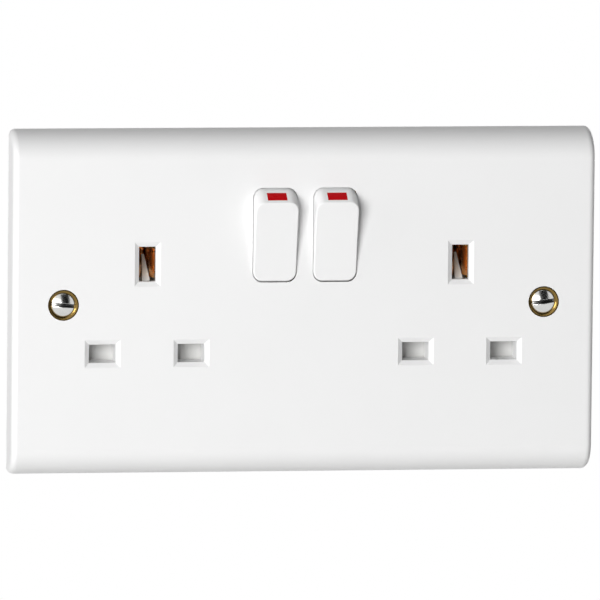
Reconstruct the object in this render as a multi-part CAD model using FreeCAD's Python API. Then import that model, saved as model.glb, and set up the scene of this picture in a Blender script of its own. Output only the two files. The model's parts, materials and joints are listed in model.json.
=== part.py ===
import FreeCAD, Part

import math
import os
from typing import Callable, List, Sequence, Tuple

# Twin switched wall socket with three flat pins per outlet, in millimetres.
# +X is to the right as seen from the room, +Y goes into the wall, +Z is up.
# The origin is the centre of the plate, on the wall's surface.

Point = Tuple[float, float]
V = FreeCAD.Vector

# Front plate
plate_width = 146.0
plate_height = 86.0
plate_depth = 9.5
face_wall = 2.4
rim_wall = 2.2
edge_run = 7.0
end_radius = 1.5
rib_wall = 1.4
stiffener_drop = 3.6
stiffener_pitch = 18.0
stiffener_gap = 1.0

# Layout set by the wiring standard
fixing_spacing = 120.6
outlet_spacing = 78.6
pin_spacing = 22.23
earth_slot_z = 10.0
line_pin_length = 17.7
earth_pin_length = 22.73

# Pin slots
line_slot_width = 6.7
line_slot_height = 4.6
earth_slot_width = 4.25
earth_slot_height = 8.7
slot_bevel = 1.15
slot_bevel_depth = 0.8
collar_wall = 1.4
collar_reach = 7.1

# Rocker switches
switch_spacing = 15.1
switch_z = 17.1
rocker_width = 10.8
rocker_reach = 12.1
rocker_side_gap = 0.15
rocker_end_gap = 0.35
rocker_corner = 2.3
rocker_wall = 1.6
rocker_dish = 0.45
rocker_tail = 1.8
rocker_edge = 0.35
hinge_depth = 4.0
proud_pressed = 0.25
proud_raised = 4.6
trunnion_radius = 1.5
trunnion_length = 1.3
bearing_gap = 0.05
bearing_rib_wall = 2.0
bearing_rib_drop = 4.9
stem_radius = 2.6
stem_reach = 8.5
flag_width = 4.9
flag_length = 2.85
flag_setback = 0.8
flag_depth = 0.5

# Plunger and its spring
plunger_radius = 1.5
plunger_reach = 13.2
plunger_length = 7.0
plunger_gap = 0.1
plunger_spring_length = 4.5
spring_wire = 0.36
wire_sides = 6
spring_seat_gap = 0.05
plunger_spring_turns = 4

# See-saw moving contact
seesaw_width = 5.0
seesaw_arm = 8.6
seesaw_lean = 10.5
seesaw_thickness = 0.8
seesaw_setback = 0.2
seesaw_room = 2.1
seesaw_end_room = 0.6
fulcrum_radius = 0.5
fulcrum_gap = 0.05
fulcrum_y = 9.0
fulcrum_wall = 0.8
rivet_radius = 1.9
rivet_height = 1.0
rivet_gap = 0.05
stop_gap = 0.15

# Shutters
shutter_gap = 0.3
shutter_thickness = 2.0
shutter_travel = 5.6
shutter_stem_width = 8.4
blade_half_span = 15.0
blade_cover = 0.7
ramp_width = 1.9
ramp_crest_width = 0.6
ramp_nose_gap = 0.7
ramp_nose_height = 2.4
ramp_tail = 0.3
ramp_lead = 0.2
earth_pin_height = 8.0
stem_top_gap = 1.2
stop_rib_gap = 0.05
shutter_spring_radius = 1.0
shutter_spring_length = 11.0
shutter_spring_turns = 6

# Metal strips and clips
strip = 0.8
clip_wall = 0.6
clip_bend = 0.9
line_clip_width = 5.6
line_clip_half = 2.6
line_clip_throat = 2.15
line_clip_lip_room = 1.0
line_clip_throat_run = 2.2
line_clip_side_run = 5.0
line_pin_room = 2.4
earth_clip_height = 7.2
earth_clip_half = 2.7
earth_clip_throat = 1.25
earth_clip_lip = 2.2
earth_clip_lip_room = 0.4
earth_clip_throat_run = 2.3
earth_clip_side_room = 0.4
earth_pin_room = 0.57
bar_width = 3.8
neutral_bar_width = 2.5
neutral_bar_gap = 1.3
live_cross_gap = 2.8
cross_link_z = 12.8
strap_width = 5.0
strap_top = -0.5
strap_end = 2.0
strap_side = 1.6
strap_upright = 3.2
strap_head = 1.4
strap_shoulder = 5.0
window_gap = 0.2

# Rear base
base_end_gap = 1.5
base_top = 30.0
base_bottom = -26.5
flange_wall = 2.8
base_floor = 1.8
base_corner = 3.0
bump_corner = 1.5
bump_wall = 2.2
row_wall = 3.6
upper_wall = 3.4
hollow_wall = 2.0
pocket_gap = 0.3
terminal_rear_y = 16.4
screw_well_radius = 2.9

# Terminals
terminal_spacing = 14.0
terminal_z = -11.5
terminal_half = 4.0
terminal_bore_radius = 2.2
terminal_bore_wall = 0.6
terminal_thread = 1.8
terminal_wall = 1.6
terminal_foot = 1.4
wire_way_gap = 0.4
terminal_screw_radius = 2.0
terminal_head_radius = 3.2
terminal_head_height = 1.7

# Fixing screws, eyelets and base screws
fixing_shank_radius = 1.75
fixing_neck_radius = 1.55
fixing_neck_room = 0.5
fixing_head_radius = 3.0
fixing_head_raise = 0.9
fixing_screw_length = 25.0
fixing_slot_width = 1.0
fixing_slot_depth = 1.15
fixing_slot_tilt = 6.0
eyelet_flange_radius = 3.85
eyelet_tube_radius = 2.6
eyelet_bore_radius = 2.05
eyelet_lip = 0.3
eyelet_flare = 0.9
eyelet_flare_wall = 0.5
fixing_boss_radius = 5.0
seat_gap = 0.02
base_screw_radius = 1.4
base_screw_head_radius = 2.6
base_screw_head_height = 1.9
base_screw_bite = 6.0
base_screw_end_gap = 1.0
base_boss_radius = 2.8
base_screw_places: List[Point] = [(-36.0, 23.0), (36.0, 23.0), (-21.0, -23.3), (21.0, -23.3)]

# Depths worked out from the sizes above
face_y = -plate_depth
inner_y = face_y + face_wall
collar_end_y = face_y + collar_reach
shutter_front_y = collar_end_y + shutter_gap
shutter_rear_y = shutter_front_y + shutter_thickness
base_front_y = shutter_rear_y + shutter_gap
strap_rear_y = base_front_y + strip
eyelet_end_y = strap_rear_y + eyelet_flare_wall
bar_front_y = face_y + line_pin_length + line_pin_room + clip_wall
bar_rear_y = bar_front_y + strip
base_rear_y = bar_rear_y + base_floor
earth_clip_rear_y = face_y + earth_pin_length + earth_pin_room + clip_wall
earth_bump_rear_y = earth_clip_rear_y + base_floor
hinge_y = face_y + hinge_depth
terminal_bore_y = bar_front_y - terminal_thread - terminal_bore_radius
terminal_front_y = terminal_bore_y - terminal_bore_radius - terminal_bore_wall

# Places worked out from the sizes above
fixing_x = fixing_spacing / 2
base_half_width = fixing_x - eyelet_tube_radius - eyelet_flare - base_end_gap
outlet_x = outlet_spacing / 2
switch_x = switch_spacing / 2
line_slot_z = earth_slot_z - pin_spacing
line_offset = pin_spacing / 2
blade_top = line_slot_z + line_slot_height / 2 + blade_cover
blade_bottom = line_slot_z - line_slot_height / 2 - blade_cover
fixed_contact_z = switch_z + seesaw_arm
strap_bottom = strap_top - strap_width
neutral_bar_top = terminal_z - terminal_half - neutral_bar_gap
neutral_bar_bottom = neutral_bar_top - neutral_bar_width

# Rocker angles, measured about the hinge from straight out of the wall
lean_pressed = math.degrees(math.acos((hinge_depth + proud_pressed) / rocker_reach))
lean_raised = math.degrees(math.acos((hinge_depth + proud_raised) / rocker_reach))
corner_angle = (lean_pressed + lean_raised) / 2
half_swing = (lean_pressed - lean_raised) / 2

SIDES = {"left": -1.0, "right": 1.0}


def box(x0: float, x1: float, y0: float, y1: float, z0: float, z1: float) -> Part.Shape:
    """Block between two corners."""
    return Part.makeBox(x1 - x0, y1 - y0, z1 - z0, V(x0, y0, z0))


def rod_x(x0: float, x1: float, y: float, z: float, radius: float) -> Part.Shape:
    """Round bar along X."""
    return Part.makeCylinder(radius, x1 - x0, V(x0, y, z), V(1, 0, 0))


def rod_y(x: float, z: float, radius: float, y0: float, y1: float) -> Part.Shape:
    """Round bar along Y."""
    return Part.makeCylinder(radius, y1 - y0, V(x, y0, z), V(0, 1, 0))


def rod_z(x: float, y: float, radius: float, z0: float, z1: float) -> Part.Shape:
    """Round bar along Z."""
    return Part.makeCylinder(radius, z1 - z0, V(x, y, z0), V(0, 0, 1))


def joined(shapes: Sequence[Part.Shape]) -> Part.Shape:
    """One solid from shapes that overlap or share faces."""
    return shapes[0].multiFuse(list(shapes[1:])).removeSplitter()


def turned(points: Sequence[Point], x: float, z: float) -> Part.Shape:
    """Solid turned about a line along Y from (radius, y) points."""
    outline = [V(x + radius, y, z) for radius, y in points]
    face = Part.Face(Part.makePolygon(outline + outline[:1]))
    return face.revolve(V(x, 0, z), V(0, 1, 0), 360)


def rounded_plate(x0: float, x1: float, z0: float, z1: float, y0: float, y1: float,
                  radius: float) -> Part.Shape:
    """Block with its four edges along Y rounded."""
    block = box(x0, x1, y0, y1, z0, z1)
    edges = [edge for edge in block.Edges if abs(edge.tangentAt(edge.FirstParameter).y) > 0.99]
    return block.makeFillet(radius, edges)


def offset_side(points: Sequence[Point], distance: float) -> List[Point]:
    """Polyline moved sideways by a distance, with mitred corners."""
    moved = []
    for index, (u, v) in enumerate(points):
        before = points[max(index - 1, 0)]
        after = points[min(index + 1, len(points) - 1)]
        first = (u - before[0], v - before[1]) if index > 0 else (after[0] - u, after[1] - v)
        second = (after[0] - u, after[1] - v) if index < len(points) - 1 else first
        first_angle = math.atan2(first[1], first[0])
        half_turn = math.remainder(math.atan2(second[1], second[0]) - first_angle, math.tau) / 2
        reach = distance / math.cos(half_turn)
        normal = first_angle + half_turn + math.pi / 2
        moved.append((u + reach * math.cos(normal), v + reach * math.sin(normal)))
    return moved


def rounded_line(points: Sequence[Point], radius: float, side: float,
                 place: Callable[[float, float], V]) -> List[Part.Edge]:
    """Edges along a polyline whose corners are arcs, tighter on the inside of each bend."""
    edges = []
    start = points[0]
    for index in range(1, len(points) - 1):
        corner = points[index]
        first = math.atan2(corner[1] - points[index - 1][1], corner[0] - points[index - 1][0])
        second = math.atan2(points[index + 1][1] - corner[1], points[index + 1][0] - corner[0])
        half_turn = math.remainder(second - first, math.tau) / 2
        bend = radius - math.copysign(1.0, half_turn) * side
        back = bend * abs(math.tan(half_turn))
        arc_start = (corner[0] - back * math.cos(first), corner[1] - back * math.sin(first))
        arc_end = (corner[0] + back * math.cos(second), corner[1] + back * math.sin(second))
        inward = first + half_turn + math.copysign(math.pi / 2, half_turn)
        depth = bend / math.cos(half_turn) - bend
        middle = (corner[0] + depth * math.cos(inward), corner[1] + depth * math.sin(inward))
        edges.append(Part.makeLine(place(*start), place(*arc_start)))
        edges.append(Part.Arc(place(*arc_start), place(*middle), place(*arc_end)).toShape())
        start = arc_end
    edges.append(Part.makeLine(place(*start), place(*points[-1])))
    return edges


def bent_strip(points: Sequence[Point], wall: float, bend: float, place: Callable[[float, float], V],
               sweep: FreeCAD.Vector) -> Part.Shape:
    """Sheet-metal strip bent along a centre line and swept across its width."""
    left = offset_side(points, wall / 2)
    right = offset_side(points, -wall / 2)
    edges = rounded_line(left, bend, wall / 2, place)
    edges.append(Part.makeLine(place(*left[-1]), place(*right[-1])))
    edges += rounded_line(right, bend, -wall / 2, place)
    edges.append(Part.makeLine(place(*right[0]), place(*left[0])))
    return Part.Face(Part.Wire(Part.__sortEdges__(edges))).extrude(sweep)


def coil(radius: float, wire: float, length: float, turns: int) -> Part.Shape:
    """Compression spring along +Z from the origin: half rings of hexagonal wire, each tilted to climb."""
    rise = (length - wire - spring_seat_gap) / (2 * turns)
    tilt = math.atan2(rise / 2, radius)
    corner = 0.0
    halves = []
    for step in range(2 * turns):
        side = 1 if step % 2 == 0 else -1
        low = wire / 2 + step * rise
        angles = [corner + math.tau * index / wire_sides for index in range(wire_sides)]
        ring = [V(side * radius + wire / 2 * math.cos(angle), 0, low + wire / 2 * math.sin(angle))
                for angle in angles]
        section = Part.Face(Part.makePolygon(ring + ring[:1]))
        axis = V(side * math.sin(tilt), 0, math.cos(tilt))
        halves.append(section.revolve(V(0, 0, low + rise / 2), axis, 180))
        corner = math.pi - 2 * side * tilt - corner
    return joined(halves)


def plate_blank(inset: float, depth: float, run: float) -> Part.Shape:
    """Plate-shaped block whose top and bottom edges are quarter ellipses from face to wall."""
    half_x = plate_width / 2 - inset
    half_z = plate_height / 2 - inset
    middle = half_z - run

    def edge_curve(sign: float) -> Part.Edge:
        ellipse = Part.Ellipse(V(-half_x, -depth, sign * middle), V(-half_x, 0, sign * half_z),
                               V(-half_x, 0, sign * middle))
        return Part.ArcOfEllipse(ellipse, 0, math.pi / 2).toShape()

    face_line = Part.makeLine(V(-half_x, -depth, -middle), V(-half_x, -depth, middle))
    wall_line = Part.makeLine(V(-half_x, 0, half_z), V(-half_x, 0, -half_z))
    outline = Part.Wire(Part.__sortEdges__([edge_curve(-1), face_line, edge_curve(1), wall_line]))
    return Part.Face(outline).extrude(V(2 * half_x, 0, 0))


def rounded_ends(block: Part.Shape, half_x: float) -> Part.Shape:
    """Rounds the left and right ends of the plate, apart from the edges on the wall."""
    edges = []
    for edge in block.Edges:
        bounds = edge.BoundBox
        on_end = bounds.XLength < 1e-6 and abs(abs(bounds.XMin) - half_x) < 1e-6
        if on_end and bounds.YMin < -1e-6:
            edges.append(edge)
    return block.makeFillet(end_radius, edges)


def wheel(radius: float, width: float, corner: float) -> Part.Shape:
    """Disc about the X axis with a rounded rim, the form that a rocker is a slice of."""
    half = width / 2
    slope = corner * (1 - math.sqrt(0.5))
    edges = [
        Part.makeLine(V(-half, 0, 0), V(-half, 0, radius - corner)),
        Part.Arc(V(-half, 0, radius - corner), V(-half + slope, 0, radius - slope),
                 V(-half + corner, 0, radius)).toShape(),
        Part.makeLine(V(-half + corner, 0, radius), V(half - corner, 0, radius)),
        Part.Arc(V(half - corner, 0, radius), V(half - slope, 0, radius - slope),
                 V(half, 0, radius - corner)).toShape(),
        Part.makeLine(V(half, 0, radius - corner), V(half, 0, 0)),
        Part.makeLine(V(half, 0, 0), V(-half, 0, 0)),
    ]
    return Part.Face(Part.Wire(edges)).revolve(V(0, 0, 0), V(1, 0, 0), 360)


def slot_cutter(x: float, z: float, width: float, height: float) -> Part.Shape:
    """Pin slot with a bevelled mouth, cut from the face to the collar's end."""

    def ring(grow: float, y: float) -> Part.Wire:
        half_w = width / 2 + grow
        half_h = height / 2 + grow
        corners = [V(x - half_w, y, z - half_h), V(x + half_w, y, z - half_h),
                   V(x + half_w, y, z + half_h), V(x - half_w, y, z + half_h)]
        return Part.makePolygon(corners + corners[:1])

    mouth = Part.makeLoft([ring(slot_bevel, face_y), ring(0.0, face_y + slot_bevel_depth)], True, True)
    shaft = box(x - width / 2, x + width / 2, face_y, collar_end_y, z - height / 2, z + height / 2)
    return mouth.fuse(shaft)


def line_slot_places() -> List[Point]:
    """Centres of the four live and neutral slots."""
    return [(side * outlet_x + pin * line_offset, line_slot_z) for side in (-1, 1) for pin in (-1, 1)]


def bearing_places() -> List[Point]:
    """Middle and half thickness of each rib that carries rocker trunnions."""
    outer = switch_x + rocker_width / 2 + shutter_gap + bearing_rib_wall / 2
    centre_half = switch_x - rocker_width / 2 - shutter_gap
    return [(-outer, bearing_rib_wall / 2), (0.0, centre_half), (outer, bearing_rib_wall / 2)]


def front_plate() -> Part.Shape:
    """White moulded plate: shell, slot collars, rocker bearings, shutter guides and bosses."""
    shell = rounded_ends(plate_blank(0.0, plate_depth, edge_run), plate_width / 2)
    cavity = plate_blank(rim_wall, plate_depth - face_wall, edge_run)
    shell = shell.cut(cavity)
    adds = [shell]
    cuts = []

    for x, z in line_slot_places():
        half_w = line_slot_width / 2 + collar_wall
        half_h = line_slot_height / 2 + collar_wall
        adds.append(box(x - half_w, x + half_w, inner_y, collar_end_y, z - half_h, z + half_h))
        cuts.append(slot_cutter(x, z, line_slot_width, line_slot_height))

    for side in SIDES.values():
        middle = side * outlet_x
        cuts.append(slot_cutter(middle, earth_slot_z, earth_slot_width, earth_slot_height))
        for hand in (-1, 1):
            guide = middle + hand * (blade_half_span + shutter_gap + rib_wall / 2)
            adds.append(box(guide - rib_wall / 2, guide + rib_wall / 2, inner_y, shutter_rear_y,
                            blade_bottom - shutter_travel, blade_top))
            stop = middle + hand * (shutter_stem_width / 2 + shutter_gap + rib_wall / 2)
            adds.append(box(stop - rib_wall / 2, stop + rib_wall / 2, inner_y, shutter_rear_y,
                            blade_top + stop_rib_gap, blade_top + stop_rib_gap + rib_wall))
        ledge_top = blade_bottom - shutter_spring_length
        adds.append(box(middle - 2 * rib_wall, middle + 2 * rib_wall, inner_y, base_front_y,
                        ledge_top - rib_wall, ledge_top))

        switch = wheel(rocker_reach + rocker_end_gap, rocker_width + 2 * rocker_side_gap,
                       rocker_corner + rocker_side_gap)
        cuts.append(switch.translated(V(side * switch_x, hinge_y, switch_z)))

        adds.append(rod_y(side * fixing_x, 0, fixing_boss_radius, inner_y, base_front_y))
        cuts.append(eyelet_seat(side * fixing_x))

    for x, z in base_screw_places:
        adds.append(rod_y(x, z, base_boss_radius, inner_y, base_front_y))
        cuts.append(rod_y(x, z, base_screw_radius + seat_gap, base_front_y - base_screw_bite, base_front_y))

    for middle, half in bearing_places():
        adds.append(box(middle - half, middle + half, inner_y, inner_y + bearing_rib_drop,
                        switch_z - 3 * trunnion_radius, switch_z + 3 * trunnion_radius))
        seat = trunnion_radius + bearing_gap
        cuts.append(rod_x(middle - half, middle + half, hinge_y, switch_z, seat))
        cuts.append(box(middle - half, middle + half, hinge_y, inner_y + bearing_rib_drop,
                        switch_z - seat, switch_z + seat))

    adds += stiffening_ribs()
    plate = adds[0].multiFuse(adds[1:])
    return plate.cut(Part.makeCompound(cuts)).removeSplitter()


def stiffening_ribs() -> List[Part.Shape]:
    """Short ribs under the face, above and below the base."""
    inside = plate_height / 2 - rim_wall - edge_run / 2
    count = int((plate_width / 2 - 2 * rim_wall) // stiffener_pitch)
    ribs = []
    for step in range(-count, count + 1):
        middle = step * stiffener_pitch
        for low, high in ((base_top + stiffener_gap, inside), (-inside, base_bottom - stiffener_gap)):
            ribs.append(box(middle - rib_wall / 2, middle + rib_wall / 2, inner_y, inner_y + stiffener_drop,
                            low, high))
    return ribs


def eyelet_seat(x: float) -> Part.Shape:
    """Countersunk hole in the plate that the eyelet fills."""
    flange = eyelet_flange_radius + seat_gap
    tube = eyelet_tube_radius + seat_gap
    drop = flange - tube
    return turned([(0, face_y), (flange, face_y), (tube, face_y + drop), (tube, base_front_y),
                   (0, base_front_y)], x, 0)


def eyelet(x: float) -> Part.Shape:
    """Brass eyelet: conical flange in the face, tube through the boss, flare behind the earth strap."""
    cone = eyelet_flange_radius - eyelet_tube_radius
    mouth = eyelet_flange_radius - eyelet_lip
    inner_cone = mouth - eyelet_bore_radius
    flare = eyelet_tube_radius + eyelet_flare
    end = eyelet_end_y
    return turned([(eyelet_bore_radius, face_y + inner_cone), (mouth, face_y),
                   (eyelet_flange_radius, face_y), (eyelet_tube_radius, face_y + cone),
                   (eyelet_tube_radius, strap_rear_y),
                   (flare, strap_rear_y), (flare, end), (eyelet_bore_radius, end)], x, 0)


def fixing_screw(x: float, tilt: float) -> Part.Shape:
    """Raised countersunk screw with a slot, seated in the eyelet's cone, with a plain neck in its tube."""
    mouth = eyelet_flange_radius - eyelet_lip
    rim_y = face_y + mouth - fixing_head_radius - seat_gap
    top_y = rim_y - fixing_head_raise
    neck_y = rim_y + fixing_head_radius - fixing_neck_radius
    thread_y = eyelet_end_y + fixing_neck_room
    tip_y = top_y + fixing_screw_length
    dome_radius = (fixing_head_radius ** 2 + fixing_head_raise ** 2) / (2 * fixing_head_raise)
    half_angle = math.asin(fixing_head_radius / dome_radius) / 2
    shoulder = (dome_radius * math.sin(half_angle), top_y + dome_radius * (1 - math.cos(half_angle)))

    def at(radius: float, y: float) -> V:
        return V(x + radius, y, 0)

    tip_bevel = fixing_shank_radius / 3
    profile = [at(fixing_head_radius, rim_y), at(fixing_neck_radius, neck_y),
               at(fixing_neck_radius, thread_y),
               at(fixing_shank_radius, thread_y + fixing_shank_radius - fixing_neck_radius),
               at(fixing_shank_radius, tip_y - tip_bevel), at(fixing_shank_radius - tip_bevel, tip_y),
               at(0, tip_y), at(0, top_y)]
    edges = [Part.makeLine(a, b) for a, b in zip(profile, profile[1:])]
    edges.append(Part.Arc(at(0, top_y), at(*shoulder), at(fixing_head_radius, rim_y)).toShape())
    screw = Part.Face(Part.Wire(Part.__sortEdges__(edges))).revolve(V(x, 0, 0), V(0, 1, 0), 360)
    reach = 2 * fixing_head_radius
    slot = box(x - reach, x + reach, top_y, top_y + fixing_slot_depth,
               -fixing_slot_width / 2, fixing_slot_width / 2)
    slot.rotate(V(x, 0, 0), V(0, -1, 0), tilt)
    return screw.cut(slot)


def posed_rocker(shape: Part.Shape, side: float) -> Part.Shape:
    """Turns a piece of a rocker from mid travel to the on position and moves it to its hinge."""
    moved = shape.copy()
    moved.rotate(V(0, 0, 0), V(1, 0, 0), half_swing)
    return moved.translated(V(side * switch_x, hinge_y, switch_z))


def dish_cutter(drop: float) -> Part.Shape:
    """Large cylinder that leaves a rocker's dished front, moved back by a drop."""
    chord = rocker_reach * math.sin(math.radians(corner_angle))
    radius = (chord ** 2 + rocker_dish ** 2) / (2 * rocker_dish)
    middle = -rocker_reach * math.cos(math.radians(corner_angle)) + rocker_dish - radius
    return rod_x(-rocker_width, rocker_width, middle, 0, radius + drop)


def flag_sector(depth: float) -> Part.Shape:
    """Piece of the rocker's top end that the coloured flag fills."""
    crest = corner_angle + math.degrees(flag_setback / rocker_reach)
    far = crest + math.degrees(flag_length / rocker_reach)
    half = flag_width / 2
    outer = 2 * rocker_reach

    def spoke(angle: float) -> V:
        turn = math.radians(angle)
        return V(-half, -outer * math.cos(turn), outer * math.sin(turn))

    wedge = Part.Face(Part.makePolygon([V(-half, 0, 0), spoke(crest), spoke(far), V(-half, 0, 0)]))
    ring = rod_x(-half, half, 0, 0, rocker_reach).cut(rod_x(-half, half, 0, 0, rocker_reach - depth))
    return ring.common(wedge.extrude(V(flag_width, 0, 0)))


def rocker() -> Part.Shape:
    """Hollow rocker at mid travel about its hinge, with trunnions and a stem for the plunger."""
    beyond = 2 * rocker_reach
    rear = box(-rocker_width, rocker_width, rocker_tail, beyond, -beyond, beyond)
    body = wheel(rocker_reach, rocker_width, rocker_corner).cut(dish_cutter(0.0)).cut(rear)
    front_edges = [edge for edge in body.Edges if edge.BoundBox.YMax < -hinge_depth]
    body = body.makeFillet(rocker_edge, front_edges)
    hollow = wheel(rocker_reach - rocker_wall, rocker_width - 2 * rocker_wall,
                   rocker_corner - rocker_wall / 2)
    body = body.cut(hollow.cut(dish_cutter(rocker_wall)))
    front = -rocker_reach * math.cos(math.radians(corner_angle)) + rocker_dish
    stem = rod_y(0, 0, stem_radius, front + rocker_wall / 2, stem_reach)
    half = rocker_width / 2
    trunnions = [rod_x(start, start + rocker_wall + trunnion_length, 0, 0, trunnion_radius)
                 for start in (-half - trunnion_length, half - rocker_wall)]
    bore = rod_y(0, 0, plunger_radius + plunger_gap, stem_floor(), stem_reach)
    solid = joined([body, stem] + trunnions)
    return solid.cut(bore).cut(flag_sector(flag_depth))


def stem_floor() -> float:
    """Bottom of the stem's bore, where the plunger's spring seats."""
    return plunger_reach - plunger_length - plunger_spring_length


def plunger() -> Part.Shape:
    """Round plunger with a domed tip, at mid travel."""
    start = plunger_reach - plunger_length
    body = rod_y(0, 0, plunger_radius, start, plunger_reach - plunger_radius)
    tip = Part.makeSphere(plunger_radius, V(0, plunger_reach - plunger_radius, 0))
    return body.fuse(tip).removeSplitter()


def plunger_spring() -> Part.Shape:
    """Coil between the stem's floor and the plunger."""
    spring = coil(plunger_radius - spring_wire, spring_wire, plunger_spring_length, plunger_spring_turns)
    spring.rotate(V(0, 0, 0), V(1, 0, 0), -90)
    return spring.translated(V(0, stem_floor(), 0))


def posed_seesaw(shape: Part.Shape, side: float) -> Part.Shape:
    """Turns a piece of a see-saw from mid travel to the on position, at its fulcrum."""
    moved = shape.copy()
    moved.rotate(V(0, 0, 0), V(1, 0, 0), -seesaw_lean)
    return moved.translated(V(side * switch_x, fulcrum_y, switch_z))


def seesaw_arm_back() -> float:
    """Distance from the fulcrum's axis forward to the back of an arm, square to the arm."""
    middle = seesaw_setback + seesaw_thickness / 2
    return middle * math.cos(math.radians(seesaw_lean)) - seesaw_thickness / 2


def seesaw() -> Part.Shape:
    """Shallow V of brass strip, grooved where it rocks on the fulcrum, at mid travel."""
    middle = -seesaw_setback - seesaw_thickness / 2
    reach = seesaw_arm + rivet_radius
    rise = reach * math.tan(math.radians(seesaw_lean))
    half = seesaw_width / 2
    arms = [(middle - rise, -reach), (middle, 0.0), (middle - rise, reach)]
    strip_body = bent_strip(arms, seesaw_thickness, clip_bend, lambda u, v: V(-half, u, v),
                            V(seesaw_width, 0, 0))
    return strip_body.cut(rod_x(-half, half, 0, 0, fulcrum_radius + fulcrum_gap))


def moving_rivet() -> Part.Shape:
    """Silver rivet on the back of the see-saw's upper arm, at mid travel."""
    back = -seesaw_arm_back()
    rivet = rod_y(0, seesaw_arm, rivet_radius, back, back + rivet_height)
    rivet.rotate(V(0, 0, 0), V(1, 0, 0), seesaw_lean)
    return rivet


def contact_clip(throat: float, half: float, lip: Point, throat_y: float, side_y: float, rear_y: float,
                 place: Callable[[float, float], V], sweep: FreeCAD.Vector) -> Part.Shape:
    """Sprung U clip: flared lips, a narrow throat, straight sides and a closed back."""
    back = rear_y - clip_wall / 2
    one_side = [lip, (throat_y, throat), (side_y, half), (back, half)]
    other_side = [(y, -w) for y, w in reversed(one_side)]
    return bent_strip(one_side + other_side, clip_wall, clip_bend, place, sweep)


def line_clip(x: float) -> Part.Shape:
    """Clip that grips a live or neutral pin from above and below."""
    lip_y = base_front_y + line_clip_lip_room
    start = x - line_clip_width / 2
    return contact_clip(line_clip_throat, line_clip_half, (lip_y, line_clip_half),
                        lip_y + line_clip_throat_run, lip_y + line_clip_side_run, bar_front_y,
                        lambda u, v: V(start, u, line_slot_z + v), V(line_clip_width, 0, 0))


def earth_contact(side: float) -> Part.Shape:
    """Bronze clip whose lips reach up behind the earth slot."""
    lip_y = inner_y + earth_clip_lip_room
    low = earth_slot_z - earth_clip_height / 2
    middle = side * outlet_x
    return contact_clip(earth_clip_throat, earth_clip_half, (lip_y, earth_clip_lip),
                        lip_y + earth_clip_throat_run, base_front_y - earth_clip_side_room,
                        earth_clip_rear_y, lambda u, v: V(middle + v, u, low),
                        V(0, 0, earth_clip_height))


def clip_pad(x: float) -> Part.Shape:
    """Flat of a bar behind a line clip."""
    half = line_clip_width / 2
    return box(x - half, x + half, bar_front_y, bar_rear_y, line_slot_z - line_clip_half,
               line_slot_z + line_clip_half)


def bar(x0: float, x1: float, z0: float, z1: float) -> Part.Shape:
    """Flat run of a live or neutral bar, lying on the base's floor."""
    return box(min(x0, x1), max(x0, x1), bar_front_y, bar_rear_y, z0, z1)


def neutral_runs() -> List[Part.Shape]:
    """Flat runs of the neutral bar."""
    left = -outlet_x - line_offset
    right = outlet_x - line_offset
    half = line_clip_width / 2
    return [clip_pad(left), clip_pad(right),
            bar(left - half, left + half, neutral_bar_bottom, line_slot_z),
            bar(right - half, right + half, neutral_bar_bottom, line_slot_z),
            bar(left - half, right + half, neutral_bar_bottom, neutral_bar_top),
            bar(-terminal_spacing - terminal_half, -terminal_spacing + terminal_half, neutral_bar_bottom,
                terminal_z + terminal_half)]


def live_runs(side: float) -> List[Part.Shape]:
    """Flat runs from a live clip up to the switch's fixed contact."""
    clip_x = side * outlet_x + line_offset
    riser = side * (outlet_x - line_offset)
    half = bar_width / 2
    runs = [clip_pad(clip_x)]
    low = line_slot_z
    if side > 0:
        low = line_slot_z + line_clip_half + live_cross_gap
        inner = clip_x - line_clip_width / 2
        runs.append(bar(inner, inner + bar_width, line_slot_z, low + bar_width))
        runs.append(bar(riser - half, inner + bar_width, low, low + bar_width))
    runs.append(bar(riser - half, riser + half, low, fixed_contact_z + half))
    runs.append(bar(riser + side * half, side * (switch_x - seesaw_width / 2), fixed_contact_z - half,
                    fixed_contact_z + half))
    return runs


def feed_runs() -> List[Part.Shape]:
    """Flat runs from the live terminal to both see-saw fulcrums."""
    half = bar_width / 2
    reach = switch_x + seesaw_width / 2
    runs = [bar(-terminal_half, terminal_half, terminal_z - terminal_half, terminal_z + terminal_half),
            bar(-half, half, terminal_z, cross_link_z + half),
            bar(-reach, reach, cross_link_z - half, cross_link_z + half)]
    for side in SIDES.values():
        middle = side * switch_x
        runs.append(bar(middle - seesaw_width / 2, middle + seesaw_width / 2, cross_link_z,
                        switch_z + 2 * fulcrum_wall))
    return runs


def terminal_hole(x: float) -> Part.Shape:
    """Clearance for a terminal's screw through its bar."""
    return rod_y(x, terminal_z, terminal_screw_radius + seat_gap, bar_front_y, bar_rear_y)


def neutral_bar() -> Part.Shape:
    """Brass bar that links both neutral clips to the neutral terminal."""
    clips = [line_clip(side * outlet_x - line_offset) for side in SIDES.values()]
    return joined(neutral_runs() + clips).cut(terminal_hole(-terminal_spacing))


def live_contact(side: float) -> Part.Shape:
    """Brass strap from a live clip to the switch."""
    return joined(live_runs(side) + [line_clip(side * outlet_x + line_offset)])


def live_feed_bar() -> Part.Shape:
    """Brass tee from the live terminal to the fulcrums that the see-saws rock on."""
    pieces = feed_runs()
    for side in SIDES.values():
        low = side * switch_x - seesaw_width / 2
        high = side * switch_x + seesaw_width / 2
        pieces.append(box(low, high, fulcrum_y, bar_front_y, switch_z - fulcrum_wall / 2,
                          switch_z + fulcrum_wall / 2))
        pieces.append(rod_x(low, high, fulcrum_y, switch_z, fulcrum_radius))
    return joined(pieces).cut(terminal_hole(0.0))


def fixed_rivet(side: float) -> Part.Shape:
    """Silver rivet on the live strap that the moving contact meets."""
    front = fulcrum_y - seesaw_arm_back() + rivet_height + rivet_gap
    return rod_y(side * switch_x, fixed_contact_z, rivet_radius, front, bar_front_y)


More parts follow.
